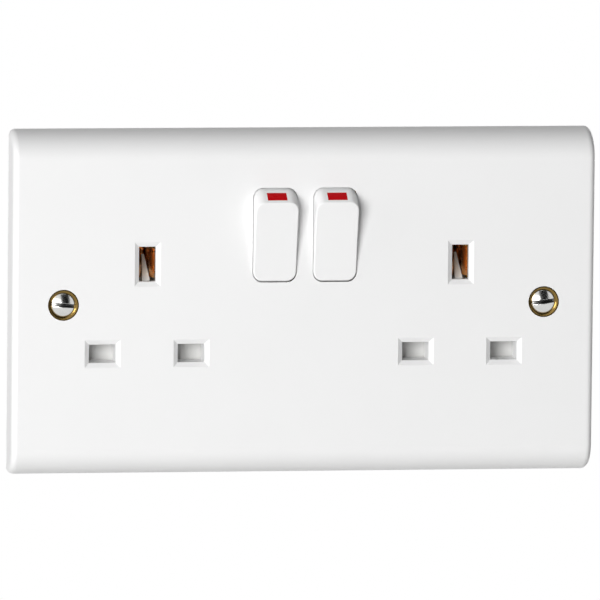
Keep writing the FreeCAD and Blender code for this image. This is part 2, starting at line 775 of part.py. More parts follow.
def strap_outline(grow: float, y0: float, y1: float) -> Part.Shape:
    """Flat of the earth strap, grown sideways for the recess that it lies in."""
    end = fixing_x + eyelet_tube_radius + strap_end + grow
    tongue = eyelet_tube_radius + strap_side + grow
    inner_end = outlet_x + earth_clip_half + strap_shoulder
    root = inner_end - strap_upright
    upright = earth_clip_half + strap_upright + grow
    top = earth_slot_z + earth_clip_height / 2 + strap_head + grow
    runs = [box(-inner_end - grow, inner_end + grow, y0, y1, strap_bottom - grow, strap_top + grow),
            box(terminal_spacing - terminal_half - grow, terminal_spacing + terminal_half + grow, y0, y1,
                terminal_z - terminal_half - grow, strap_top)]
    for side in SIDES.values():
        middle = side * outlet_x
        runs.append(box(min(side * end, side * root), max(side * end, side * root), y0, y1,
                        -tongue, tongue))
        runs.append(box(middle - upright, middle + upright, y0, y1, strap_bottom, top))
    return joined(runs)


def earth_strap() -> Part.Shape:
    """Brass strap between the eyelets, with a window for each earth contact."""
    strap = strap_outline(0.0, base_front_y, strap_rear_y)
    cuts = []
    for side in SIDES.values():
        middle = side * outlet_x
        window = earth_clip_half + clip_wall / 2
        cuts.append(box(middle - window, middle + window, base_front_y, strap_rear_y, strap_top,
                        earth_slot_z + earth_clip_height / 2 + window_gap))
        cuts.append(rod_y(side * fixing_x, 0, eyelet_tube_radius + seat_gap, base_front_y, strap_rear_y))
    return strap.cut(Part.makeCompound(cuts))


def shutter(side: float) -> Part.Shape:
    """Sliding shutter: blades behind the line slots and a ramp in the earth slot."""
    middle = side * outlet_x
    half = shutter_stem_width / 2
    stem_top = earth_slot_z - earth_clip_height / 2 - stem_top_gap
    stem = box(middle - half, middle + half, shutter_front_y, shutter_rear_y, blade_bottom, stem_top)
    blades = box(middle - blade_half_span, middle + blade_half_span, shutter_front_y, shutter_rear_y,
                 blade_bottom, blade_top)
    nose_y = inner_y + ramp_nose_gap
    pin_bottom = earth_slot_z - earth_pin_height / 2
    nose_top = pin_bottom - ramp_lead
    web_bottom = pin_bottom - earth_pin_height / 2 - ramp_nose_height
    ramp_top = pin_bottom + shutter_travel
    web = [V(middle - ramp_width / 2, y, z) for y, z in (
        (nose_y, nose_top), (shutter_rear_y - ramp_tail, ramp_top), (shutter_rear_y, ramp_top),
        (shutter_rear_y, web_bottom), (shutter_front_y, web_bottom), (nose_y, nose_top - ramp_nose_height))]
    ramp = Part.Face(Part.makePolygon(web + web[:1])).extrude(V(ramp_width, 0, 0))
    foot = ramp_width / 2
    crest = ramp_crest_width / 2
    taper = [V(middle + x, nose_y, z) for x, z in (
        (-foot, web_bottom), (foot, web_bottom), (foot, nose_top), (crest, ramp_top), (-crest, ramp_top),
        (-foot, nose_top))]
    wedge = Part.Face(Part.makePolygon(taper + taper[:1])).extrude(V(0, shutter_rear_y - nose_y, 0))
    return joined([stem, blades, ramp.common(wedge)])


def shutter_spring(side: float) -> Part.Shape:
    """Return spring between the ledge on the plate and the shutter's foot."""
    spring = coil(shutter_spring_radius, spring_wire, shutter_spring_length, shutter_spring_turns)
    return spring.translated(V(side * outlet_x, (shutter_front_y + shutter_rear_y) / 2,
                               blade_bottom - shutter_spring_length))


def terminal_block(x: float, front_y: float) -> Part.Shape:
    """Brass block with a bore for the wire from below and a tapped hole from behind."""
    block = box(x - terminal_half, x + terminal_half, front_y, bar_front_y, terminal_z - terminal_half,
                terminal_z + terminal_half)
    bore = rod_z(x, terminal_bore_y, terminal_bore_radius, terminal_z - terminal_half,
                 terminal_z + terminal_half)
    tapped = rod_y(x, terminal_z, terminal_screw_radius + seat_gap, terminal_bore_y, bar_front_y)
    return block.cut(bore).cut(tapped)


def terminal_screw(x: float) -> Part.Shape:
    """Clamping screw backed out of the bore, with a slotted cheese head."""
    tip = terminal_bore_y + terminal_bore_radius + seat_gap
    head_y = terminal_rear_y - terminal_head_height
    shank = rod_y(x, terminal_z, terminal_screw_radius, tip, head_y)
    head = rod_y(x, terminal_z, terminal_head_radius, head_y, terminal_rear_y)
    reach = terminal_head_radius
    slot = box(x - reach, x + reach, terminal_rear_y - terminal_head_height / 2, terminal_rear_y,
               terminal_z - fixing_slot_width / 2, terminal_z + fixing_slot_width / 2)
    return shank.fuse(head).removeSplitter().cut(slot)


def base_screw(x: float, z: float) -> Part.Shape:
    """Self-tapping screw from the back of the base into a boss of the plate."""
    seat = base_front_y + flange_wall
    shank = rod_y(x, z, base_screw_radius, base_front_y - base_screw_bite + base_screw_end_gap, seat)
    head = rod_y(x, z, base_screw_head_radius, seat, seat + base_screw_head_height)
    reach = base_screw_head_radius
    slot = box(x - reach, x + reach, seat + base_screw_head_height / 2, seat + base_screw_head_height,
               z - fixing_slot_width / 2, z + fixing_slot_width / 2)
    return shank.fuse(head).removeSplitter().cut(slot)


def grown(shape: Part.Shape, front_y: float) -> Part.Shape:
    """Pocket over a flat run: its outline grown by the pocket gap, open to the front."""
    bounds = shape.BoundBox
    return box(bounds.XMin - pocket_gap, bounds.XMax + pocket_gap, front_y, bounds.YMax,
               bounds.ZMin - pocket_gap, bounds.ZMax + pocket_gap)


def base_blocks() -> List[Part.Shape]:
    """Outer forms of the rear base: flange, contact row, upper block, terminal block and earth bumps."""
    row_half = line_clip_half + pocket_gap + row_wall
    upper_half = outlet_x + earth_clip_half + upper_wall
    terminal_reach = terminal_spacing + terminal_half + terminal_wall
    bump_half = earth_clip_half + bump_wall
    bump_rise = earth_clip_height / 2 + bump_wall
    blocks = [
        rounded_plate(-base_half_width, base_half_width, base_bottom, base_top, base_front_y,
                      base_front_y + flange_wall, base_corner),
        rounded_plate(-base_half_width, base_half_width, neutral_bar_bottom - terminal_wall,
                      line_slot_z + row_half, base_front_y, base_rear_y, base_corner),
        rounded_plate(-upper_half, upper_half, line_slot_z, base_top, base_front_y, base_rear_y,
                      base_corner),
        rounded_plate(-terminal_reach, terminal_reach, neutral_bar_bottom - terminal_wall - terminal_foot,
                      terminal_z + terminal_half + terminal_wall, base_front_y, terminal_rear_y,
                      bump_corner)]
    for side in SIDES.values():
        middle = side * outlet_x
        blocks.append(rounded_plate(middle - bump_half, middle + bump_half, earth_slot_z - bump_rise,
                                    earth_slot_z + bump_rise, base_front_y, earth_bump_rear_y, bump_corner))
    return blocks


def base_pockets() -> List[Part.Shape]:
    """Everything that is cut out of the rear base."""
    pockets = [strap_outline(pocket_gap, base_front_y, strap_rear_y)]
    for run in neutral_runs() + live_runs(-1) + live_runs(1) + feed_runs():
        pockets.append(grown(run, base_front_y))
    for x, z in line_slot_places():
        half_w = line_clip_width / 2 + pocket_gap
        half_h = line_clip_half + clip_wall / 2 + 2 * pocket_gap
        pockets.append(box(x - half_w, x + half_w, base_front_y, bar_rear_y, z - half_h, z + half_h))
    for side in SIDES.values():
        middle = side * outlet_x
        half = earth_clip_half + clip_wall / 2 + pocket_gap
        pockets.append(box(middle - half, middle + half, base_front_y, earth_clip_rear_y,
                           earth_slot_z - earth_clip_height / 2 - pocket_gap,
                           earth_slot_z + earth_clip_height / 2 + pocket_gap))
        switch = side * switch_x
        half = seesaw_width / 2 + seesaw_room
        reach = seesaw_arm + rivet_radius + seesaw_end_room
        pockets.append(box(switch - half, switch + half, base_front_y, bar_rear_y,
                           switch_z - reach, switch_z + reach))
        far = side * (outlet_x - line_offset - bar_width / 2 - hollow_wall)
        near = side * (switch_x + half + hollow_wall)
        pockets.append(box(min(far, near), max(far, near), base_front_y + flange_wall, base_rear_y,
                           terminal_z + terminal_half + terminal_wall + hollow_wall,
                           fixed_contact_z - bar_width / 2 - hollow_wall))
    for x in (-terminal_spacing, 0.0, terminal_spacing):
        half = terminal_half + pocket_gap
        pockets.append(box(x - half, x + half, base_front_y, bar_rear_y, terminal_z - half,
                           terminal_z + half))
        pockets.append(rod_z(x, terminal_bore_y, terminal_bore_radius + wire_way_gap, base_bottom,
                             terminal_z))
        pockets.append(rod_y(x, terminal_z, terminal_head_radius + pocket_gap, bar_rear_y,
                             terminal_rear_y))
    for x, z in base_screw_places:
        pockets.append(rod_y(x, z, base_screw_radius + seat_gap, base_front_y, base_front_y + flange_wall))
        pockets.append(rod_y(x, z, screw_well_radius, base_front_y + flange_wall, terminal_rear_y))
    return pockets


def rear_base() -> Part.Shape:
    """White rear moulding with chambers for the metalwork, bearing posts and see-saw stops."""
    body = joined(base_blocks()).cut(Part.makeCompound(base_pockets()))
    adds = []
    for middle, half in bearing_places():
        post = half - pocket_gap
        adds.append(box(middle - post, middle + post, hinge_y + trunnion_radius + bearing_gap, base_front_y,
                        switch_z - trunnion_radius + bearing_gap, switch_z + trunnion_radius - bearing_gap))
    for side in SIDES.values():
        middle = side * switch_x
        stop = fulcrum_y - seesaw_arm_back() + stop_gap
        low = switch_z - seesaw_arm
        adds.append(box(middle - seesaw_width / 2, middle + seesaw_width / 2, stop, bar_rear_y,
                        low - rivet_radius, low + rivet_radius / 2))
    return joined([body] + adds)


def parts() -> dict:
    """Every node of the socket by name."""
    nodes = {
        "front_plate": front_plate(),
        "rear_base": rear_base(),
        "earth_strap": earth_strap(),
        "neutral_bar": neutral_bar(),
        "live_feed_bar": live_feed_bar(),
        "neutral_terminal": terminal_block(-terminal_spacing, terminal_front_y),
        "live_terminal": terminal_block(0.0, terminal_front_y),
        "earth_terminal": terminal_block(terminal_spacing, strap_rear_y),
        "neutral_terminal_screw": terminal_screw(-terminal_spacing),
        "live_terminal_screw": terminal_screw(0.0),
        "earth_terminal_screw": terminal_screw(terminal_spacing),
        "base_screws": Part.makeCompound([base_screw(x, z) for x, z in base_screw_places]),
        "fixing_screws": Part.makeCompound([fixing_screw(side * fixing_x, side * fixing_slot_tilt)
                                            for side in SIDES.values()]),
    }
    for name, side in SIDES.items():
        nodes[name + "_eyelet"] = eyelet(side * fixing_x)
        nodes[name + "_rocker"] = posed_rocker(rocker(), side)
        nodes[name + "_rocker_flag"] = posed_rocker(flag_sector(flag_depth), side)
        nodes[name + "_plunger"] = posed_rocker(plunger(), side)
        nodes[name + "_plunger_spring"] = posed_rocker(plunger_spring(), side)
        nodes[name + "_moving_contact"] = posed_seesaw(seesaw(), side)
        nodes[name + "_moving_rivet"] = posed_seesaw(moving_rivet(), side)
        nodes[name + "_fixed_rivet"] = fixed_rivet(side)
        nodes[name + "_live_contact"] = live_contact(side)
        nodes[name + "_earth_contact"] = earth_contact(side)
        nodes[name + "_shutter"] = shutter(side)
        nodes[name + "_shutter_spring"] = shutter_spring(side)
    return nodes


def main() -> None:
    """Writes one STEP file per node."""
    os.makedirs("parts", exist_ok=True)
    for name, shape in parts().items():
        shape.exportStep("parts/" + name + ".step")
        print(name, len(shape.Solids), "solids", round(shape.Volume, 2), "mm3", "valid", shape.isValid())
    print("rocker travel", round(2 * half_swing, 3), "see-saw travel", 2 * seesaw_lean)


main()
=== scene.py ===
"""Dresses a white twin wall socket: finishes, threads, springs, letters, studio light and camera."""

import json
import logging
import math
from dataclasses import dataclass
from enum import Enum
from typing import Dict, List, Optional, Sequence, Tuple, Union

import bmesh
import bpy
from mathutils import Matrix, Vector


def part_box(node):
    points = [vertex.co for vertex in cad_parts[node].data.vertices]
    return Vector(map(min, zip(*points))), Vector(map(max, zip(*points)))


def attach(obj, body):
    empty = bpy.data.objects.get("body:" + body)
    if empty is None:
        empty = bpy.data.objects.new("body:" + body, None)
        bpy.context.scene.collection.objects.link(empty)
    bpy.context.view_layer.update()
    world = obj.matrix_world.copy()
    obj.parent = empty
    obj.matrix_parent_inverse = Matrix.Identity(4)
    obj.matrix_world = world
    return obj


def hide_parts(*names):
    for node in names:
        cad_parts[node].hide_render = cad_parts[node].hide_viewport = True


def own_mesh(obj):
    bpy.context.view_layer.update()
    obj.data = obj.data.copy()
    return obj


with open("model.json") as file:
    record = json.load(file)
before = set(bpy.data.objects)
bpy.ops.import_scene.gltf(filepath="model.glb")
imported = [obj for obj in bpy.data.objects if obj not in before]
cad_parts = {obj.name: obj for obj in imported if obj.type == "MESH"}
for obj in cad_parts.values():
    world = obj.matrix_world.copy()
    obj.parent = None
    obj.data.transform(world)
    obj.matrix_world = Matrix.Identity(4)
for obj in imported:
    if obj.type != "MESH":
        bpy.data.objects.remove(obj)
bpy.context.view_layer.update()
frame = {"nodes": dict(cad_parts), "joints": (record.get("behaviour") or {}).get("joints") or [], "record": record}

Colour = Tuple[float, float, float, float]
Limits = Tuple[float, float]
Profile = Sequence[Tuple[float, float]]
SocketKey = Union[str, int]
Values = Dict[SocketKey, object]
Links = Dict[SocketKey, bpy.types.NodeSocket]

MM = 0.001
MICRON = 0.000001
IMAGE_SIZE = 600
LOG = logging.getLogger("twin_socket")

# A Mix node's sockets go by number, because its kinds of data share their names.
MIX_FACTOR = 0
NUMBER_A, NUMBER_B, NUMBER_RESULT = 2, 3, 0
COLOUR_A, COLOUR_B, COLOUR_RESULT = 6, 7, 2

# Octaves of noise: few for a broad tone or for lines, more for a skin, most for a stain.
BROAD_DETAIL = 2.0
SKIN_DETAIL = 3.0
STAIN_DETAIL = 4.0


class Side(Enum):
    """The two halves of the socket, as seen from the room."""

    LEFT = -1
    RIGHT = 1

    @property
    def word(self) -> str:
        """The side's name as node and body names start with it."""
        return self.name.lower()


def linear(code: str) -> Colour:
    """Turns an sRGB hex colour into linear light.

    Args:
        code: Colour as "#RRGGBB".

    Returns:
        Linear red, green, blue and an alpha of one.
    """
    shares = [int(code[start:start + 2], 16) / 255 for start in (1, 3, 5)]
    red, green, blue = (share / 12.92 if share <= 0.04045 else ((share + 0.055) / 1.055) ** 2.4
                        for share in shares)
    return red, green, blue, 1.0


def per_metre(spacing_mm: float) -> float:
    """Texture scale, in features per metre, for a real spacing in millimetres."""
    return 1 / (spacing_mm * MM)


def around(middle: float, share: float) -> Values:
    """Limits of a Map Range that lie a share below and above a middle value."""
    return {"To Min": middle * (1 - share), "To Max": middle * (1 + share)}


def add_node(tree: bpy.types.NodeTree, kind: str, values: Optional[Values] = None,
             links: Optional[Links] = None, **settings: object) -> bpy.types.Node:
    """Adds a node, sets its properties and input values, and links its inputs.

    Args:
        tree: Tree that gets the node.
        kind: Blender's type name of the node.
        values: Constant for each input named or numbered here.
        links: Output socket that feeds each input named or numbered here.
        settings: Properties of the node itself.

    Returns:
        The new node.
    """
    node = tree.nodes.new(kind)
    for name, setting in settings.items():
        setattr(node, name, setting)
    for key, value in (values or {}).items():
        node.inputs[key].default_value = value
    for key, socket in (links or {}).items():
        tree.links.new(socket, node.inputs[key])
    return node


def blank_material(name: str) -> Tuple[bpy.types.Material, bpy.types.NodeTree, bpy.types.NodeSocket]:
    """Starts a node material.

    Args:
        name: Name of the material.

    Returns:
        The material, its empty tree and the output that gives Object coordinates.
    """
    material = bpy.data.materials.new(name)
    material.use_nodes = True
    tree = material.node_tree
    tree.nodes.clear()
    coordinates = add_node(tree, "ShaderNodeTexCoord")
    return material, tree, coordinates.outputs["Object"]


@dataclass(frozen=True)
class MouldedPlastic:
    """Pressed thermoset or nylon: pigment with a faint flow tone under a skin from a polished mould."""

    name: str
    colour: str
    flow_colour: str
    roughness: float
    ior: float = 1.54
    specular: float = 0.5
    flow_mm: float = 26.0
    ripple_mm: float = 2.4
    ripple_um: float = 2.5
    roughness_spread: float = 0.12

    def material(self) -> bpy.types.Material:
        """Builds the node material.

        Returns:
            The material.
        """
        material, tree, place = blank_material(self.name)
        flow = add_node(tree, "ShaderNodeTexNoise",
                        {"Scale": per_metre(self.flow_mm), "Detail": BROAD_DETAIL}, {"Vector": place})
        tone = add_node(tree, "ShaderNodeMix",
                        {COLOUR_A: linear(self.colour), COLOUR_B: linear(self.flow_colour)},
                        {MIX_FACTOR: flow.outputs["Fac"]}, data_type="RGBA")
        ripple = add_node(tree, "ShaderNodeTexNoise",
                          {"Scale": per_metre(self.ripple_mm), "Detail": SKIN_DETAIL}, {"Vector": place})
        gloss = add_node(tree, "ShaderNodeMapRange", around(self.roughness, self.roughness_spread),
                         {"Value": ripple.outputs["Fac"]})
        skin = add_node(tree, "ShaderNodeBump", {"Distance": self.ripple_um * MICRON},
                        {"Height": ripple.outputs["Fac"]})
        surface = add_node(tree, "ShaderNodeBsdfPrincipled",
                           {"IOR": self.ior, "Specular IOR Level": self.specular},
                           {"Base Color": tone.outputs[COLOUR_RESULT], "Roughness": gloss.outputs["Result"],
                            "Normal": skin.outputs["Normal"]})
        add_node(tree, "ShaderNodeOutputMaterial", links={"Surface": surface.outputs["BSDF"]})
        return material


@dataclass(frozen=True)
class RolledMetal:
    """Strip, bar or wire: bare metal with fine lines along its run and a thin uneven tarnish."""

    name: str
    colour: str
    tarnish: str
    roughness: float
    # Real rolling lines are a few hundredths of a millimetre apart; these are coarser, so that they show.
    line_mm: float = 0.25
    line_stretch: float = 24.0
    line_um: float = 1.5
    tarnish_mm: float = 3.0
    roughness_spread: float = 0.25

    def material(self) -> bpy.types.Material:
        """Builds the node material.

        Returns:
            The material.
        """
        material, tree, place = blank_material(self.name)
        along = add_node(tree, "ShaderNodeMapping", {"Scale": (1 / self.line_stretch, 1.0, 1.0)},
                         {"Vector": place})
        lines = add_node(tree, "ShaderNodeTexNoise",
                         {"Scale": per_metre(self.line_mm), "Detail": BROAD_DETAIL},
                         {"Vector": along.outputs["Vector"]})
        stain = add_node(tree, "ShaderNodeTexNoise",
                         {"Scale": per_metre(self.tarnish_mm), "Detail": STAIN_DETAIL}, {"Vector": place})
        tone = add_node(tree, "ShaderNodeMix",
                        {COLOUR_A: linear(self.colour), COLOUR_B: linear(self.tarnish)},
                        {MIX_FACTOR: stain.outputs["Fac"]}, data_type="RGBA")
        gloss = add_node(tree, "ShaderNodeMapRange", around(self.roughness, self.roughness_spread),
                         {"Value": stain.outputs["Fac"]})
        skin = add_node(tree, "ShaderNodeBump", {"Distance": self.line_um * MICRON},
                        {"Height": lines.outputs["Fac"]})
        surface = add_node(tree, "ShaderNodeBsdfPrincipled", {"Metallic": 1.0},
                           {"Base Color": tone.outputs[COLOUR_RESULT], "Roughness": gloss.outputs["Result"],
                            "Normal": skin.outputs["Normal"]})
        add_node(tree, "ShaderNodeOutputMaterial", links={"Surface": surface.outputs["BSDF"]})
        return material


@dataclass(frozen=True)
class TurnedMetal:
    """Lathe-turned metal: rings about a row of axes along Y, the same on the left and the right, with painted
    shade in its hollows.
    """

    name: str
    colour: str
    tarnish: str
    roughness: float
    axis_x_mm: float
    axis_z_mm: float
    spacing_mm: float
    # Real turning rings are some hundredths of a millimetre apart; these are coarser, so that they show.
    ring_mm: float = 0.22
    ring_um: float = 1.2
    tarnish_mm: float = 1.6
    # Painted shade: the dark colour, reach and occlusion limits of the darkening in the hollows.
    painted_shade: str = "#1E1B18"
    shade_reach_mm: float = 1.3
    shade_full: float = 0.35
    shade_none: float = 0.8
    shade_samples: int = 8

    def rings(self, tree: bpy.types.NodeTree, place: bpy.types.NodeSocket) -> bpy.types.NodeSocket:
        """Draws waves that run out from the nearest axis.

        Args:
            tree: Tree of the material.
            place: Output that gives Object coordinates.

        Returns:
            The output that holds the waves' height.
        """
        parts = add_node(tree, "ShaderNodeSeparateXYZ", links={"Vector": place})
        mirrored = add_node(tree, "ShaderNodeMath", links={0: parts.outputs["X"]}, operation="ABSOLUTE")
        outward = add_node(tree, "ShaderNodeMath", {1: self.axis_x_mm * MM}, {0: mirrored.outputs[0]},
                           operation="SUBTRACT")
        half = self.spacing_mm / 2 * MM
        across = add_node(tree, "ShaderNodeMath", {1: half, 2: -half}, {0: outward.outputs[0]},
                          operation="WRAP")
        up = add_node(tree, "ShaderNodeMath", {1: self.axis_z_mm * MM}, {0: parts.outputs["Z"]},
                      operation="SUBTRACT")
        flat = add_node(tree, "ShaderNodeCombineXYZ", links={"X": across.outputs[0], "Y": up.outputs[0]})
        radius = add_node(tree, "ShaderNodeVectorMath", links={0: flat.outputs["Vector"]},
                          operation="LENGTH")
        phase = add_node(tree, "ShaderNodeMath", {1: math.tau * per_metre(self.ring_mm)},
                         {0: radius.outputs["Value"]}, operation="MULTIPLY")
        return add_node(tree, "ShaderNodeMath", links={0: phase.outputs[0]}, operation="SINE").outputs[0]

    def material(self) -> bpy.types.Material:
        """Builds the node material.

        Returns:
            The material.
        """
        material, tree, place = blank_material(self.name)
        stain = add_node(tree, "ShaderNodeTexNoise",
                         {"Scale": per_metre(self.tarnish_mm), "Detail": STAIN_DETAIL}, {"Vector": place})
        tone = add_node(tree, "ShaderNodeMix",
                        {COLOUR_A: linear(self.colour), COLOUR_B: linear(self.tarnish)},
                        {MIX_FACTOR: stain.outputs["Fac"]}, data_type="RGBA")
        # Painted shade: the colour darkens where the metal's own surfaces hide it, in the slot and in the roots of
        # the thread.
        reach = add_node(tree, "ShaderNodeAmbientOcclusion", {"Distance": self.shade_reach_mm * MM},
                         only_local=True, samples=self.shade_samples)
        unshaded = add_node(tree, "ShaderNodeMapRange",
                         {"From Min": self.shade_full, "From Max": self.shade_none},
                         {"Value": reach.outputs["AO"]})
        shaded = add_node(tree, "ShaderNodeMix", {COLOUR_A: linear(self.painted_shade)},
                        {MIX_FACTOR: unshaded.outputs["Result"], COLOUR_B: tone.outputs[COLOUR_RESULT]},
                        data_type="RGBA")
        skin = add_node(tree, "ShaderNodeBump", {"Distance": self.ring_um * MICRON},
                        {"Height": self.rings(tree, place)})
        surface = add_node(tree, "ShaderNodeBsdfPrincipled", {"Metallic": 1.0, "Roughness": self.roughness},
                           {"Base Color": shaded.outputs[COLOUR_RESULT], "Normal": skin.outputs["Normal"]})
        add_node(tree, "ShaderNodeOutputMaterial", links={"Surface": surface.outputs["BSDF"]})
        return material


Finish = Union[MouldedPlastic, RolledMetal, TurnedMetal]

MOUNTS = {row["name"]: row for row in frame["record"]["mounts"]}
FIXING_X_MM = MOUNTS["wall_screws"]["dims"]["spacing_x_mm"] / 2
TERMINAL_STEP_MM = MOUNTS["earth_wire"]["pos_m"][0] / MM
TERMINAL_Z_MM = MOUNTS["earth_wire"]["pos_m"][2] / MM

FINISHES: Dict[str, Finish] = {
    # Urea-formaldehyde pressed in a polished mould: a clean cool white with a soft gloss.
    "white_urea": MouldedPlastic("urea_white_gloss", "#F2F2F2", "#EFEFEF", 0.42, specular=0.3),
    # The same resin off a plainer tool: the rear moulding is a little warmer and duller.
    "white_base": MouldedPlastic("urea_white_satin", "#EDECE8", "#E7E6E1", 0.5, ripple_um=6.0),
    # Nylon shutter: milky white with a waxy sheen, its white greyed down as painted shade for the depth of the pin
    # slots.
    "white_shutter": MouldedPlastic("nylon_white", "#D5D5D3", "#CECECC", 0.42),
    # Cellulose inlay in the rocker: a deep, wet-looking signal red.
    "red_flag": MouldedPlastic("inlay_red", "#C6000D", "#B8000A", 0.28, specular=0.05),
    # Unpigmented nylon plunger: a yellowish, waxy white.
    "natural_nylon": MouldedPlastic("nylon_natural", "#E2DDCB", "#D8D2BC", 0.45),
    # Drawn music wire with a thin oil film: grey with bright lines.
    "spring_steel": RolledMetal("music_wire", "#A9A9A6", "#8C8B87", 0.3),
    # Rolled phosphor bronze: orange-brown, bright on the bends.
    "phosphor_bronze": RolledMetal("phosphor_bronze", "#E8BC88", "#C8935C", 0.27),
    # Stamped brass strip: yellow with rolling lines.
    "brass_strip": RolledMetal("rolled_brass", "#D9B25A", "#B98F3F", 0.26),
    # Sawn and drilled brass bar: bright yellow with coarser tool lines.
    "brass_block": RolledMetal("machined_brass", "#DDB961", "#C39A4A", 0.24, line_mm=0.4),
    # Deep-drawn brass eyelet, browned by its lacquer: a glossy dark gold.
    "brass_eyelet": RolledMetal("drawn_brass", "#AE9052", "#7E6636", 0.18),
    # Fine-silver contact rivet: a pale, soft shine.
    "contact_silver": RolledMetal("contact_silver", "#DEDDD8", "#C9C6BE", 0.25),
    # Nickel-plated steel, turned and barrel polished: near mirror with faint rings, and painted shade that darkens
    # the slot and the thread roots.
    "plated_steel": TurnedMetal("nickel_plated_steel", "#DCDCDA", "#C8C8C6", 0.19, FIXING_X_MM, 0.0,
                                2 * FIXING_X_MM),
    # Turned brass screw: a yellow head with faint rings, and painted shade that darkens its slot.
    "terminal_screw_brass": TurnedMetal("turned_brass", "#D6B05A", "#B98E3E", 0.28, 0.0, TERMINAL_Z_MM,
                                        TERMINAL_STEP_MM),
}


def new_object(name: str, data: bpy.types.ID) -> bpy.types.Object:
    """Links a new object to the scene, at the origin.

    Args:
        name: Name of the object.
        data: Mesh, curve, lamp or camera that it shows.

    Returns:
        The object.
    """
    thing = bpy.data.objects.new(name, data)
    bpy.context.scene.collection.objects.link(thing)
    return thing


def evaluated_mesh(thing: bpy.types.Object) -> bpy.types.Mesh:
    """Makes a plain mesh of an object's evaluated shape.

    Args:
        thing: Object with modifiers, or a text.

    Returns:
        A new mesh that holds the shape.
    """
    bpy.context.view_layer.update()
    depsgraph = bpy.context.evaluated_depsgraph_get()
    return bpy.data.meshes.new_from_object(thing.evaluated_get(depsgraph), depsgraph=depsgraph)


def settle(thing: bpy.types.Object) -> None:
    """Turns an object's modifiers into plain mesh and removes them.

    Args:
        thing: Object whose evaluated shape becomes its own mesh.
    """
    settled = evaluated_mesh(thing)
    thing.modifiers.clear()
    thing.data = settled


def lathe(profile: Profile, segments: int = 72) -> bmesh.types.BMesh:
    """Turns a profile about Y into a closed skin.

    Args:
        profile: Radius and Y of each corner in millimetres, from one end of the axis to the other; the
            first and last radius are zero.
        segments: Faces round the axis.

    Returns:
        The turned shape, in metres.
    """
    skin = bmesh.new()
    rings: List[List[bmesh.types.BMVert]] = []
    for radius, y in profile:
        count = segments if radius > 0 else 1
        turns = [math.tau * step / segments for step in range(count)]
        rings.append([skin.verts.new((radius * MM * math.cos(turn), y * MM, radius * MM * math.sin(turn)))
                      for turn in turns])
    for one, two in zip(rings, rings[1:]):
        for step in range(segments):
            after = (step + 1) % segments
            corners = [one[step % len(one)], one[after % len(one)],
                       two[after % len(two)], two[step % len(two)]]
            skin.faces.new(list(dict.fromkeys(corners)))
    bmesh.ops.recalc_face_normals(skin, faces=skin.faces)
    return skin


def mesh_of(skin: bmesh.types.BMesh, name: str) -> bpy.types.Mesh:
    """Turns a worked shape into a mesh and frees the shape.

    Args:
        skin: Shape that isn't needed any more.
        name: Name of the mesh.

    Returns:
        The mesh.
    """
    mesh = bpy.data.meshes.new(name)
    skin.to_mesh(mesh)
    skin.free()
    return mesh


